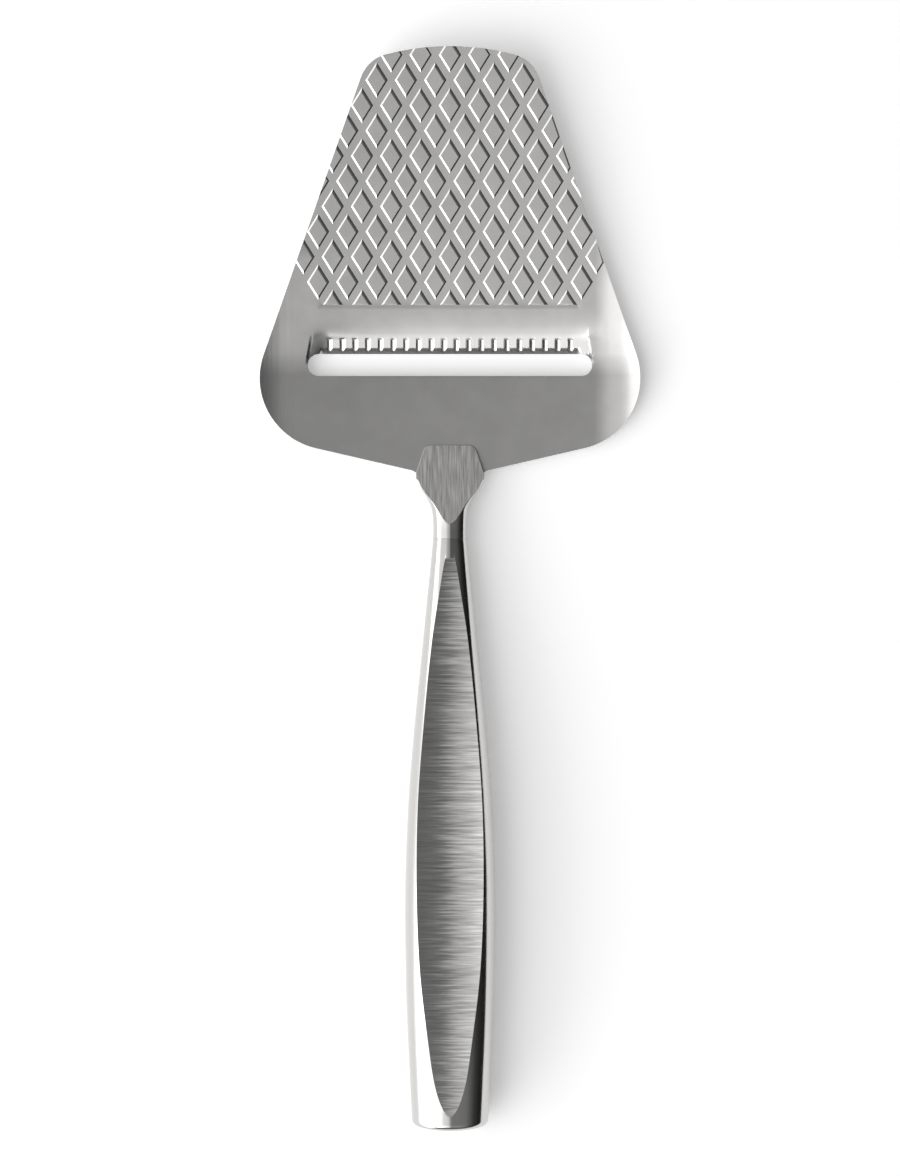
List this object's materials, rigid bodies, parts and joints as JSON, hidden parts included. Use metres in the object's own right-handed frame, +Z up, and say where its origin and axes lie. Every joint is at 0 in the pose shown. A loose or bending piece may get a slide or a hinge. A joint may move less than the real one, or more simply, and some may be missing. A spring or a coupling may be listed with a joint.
{
  "type": "cheese slicer",
  "caption": "Handheld cheese slicer: wedge-shaped steel blade with a slot, grooved cutting lip and raised diamond pattern, on a neck and a long hollow handle.",
  "frame": {"origin": "middle of the tool's length and width, on the table that it lies on", "axes": "+Y along the tool from the butt to the blade's tip, +X across it to the right, +Z up from the table to the side with the raised pattern"},
  "size_m": [0.0862, 0.245, 0.0134],
  "materials": {
    "blade_steel": "fine satin, stamped",
    "neck_steel": "polished stem, coarsely brushed pad",
    "handle_steel": "polished, with one face ground crosswise",
    "weld_metal": "as welded"
  },
  "bodies": {
    "root": {"blade": "blade_steel", "neck": "neck_steel", "spot_welds": "weld_metal", "neck_braze_ring": "weld_metal", "handle_front_shell": "handle_steel", "handle_back_shell": "handle_steel", "handle_seam_bead": "weld_metal"}
  },
  "joints": []
}
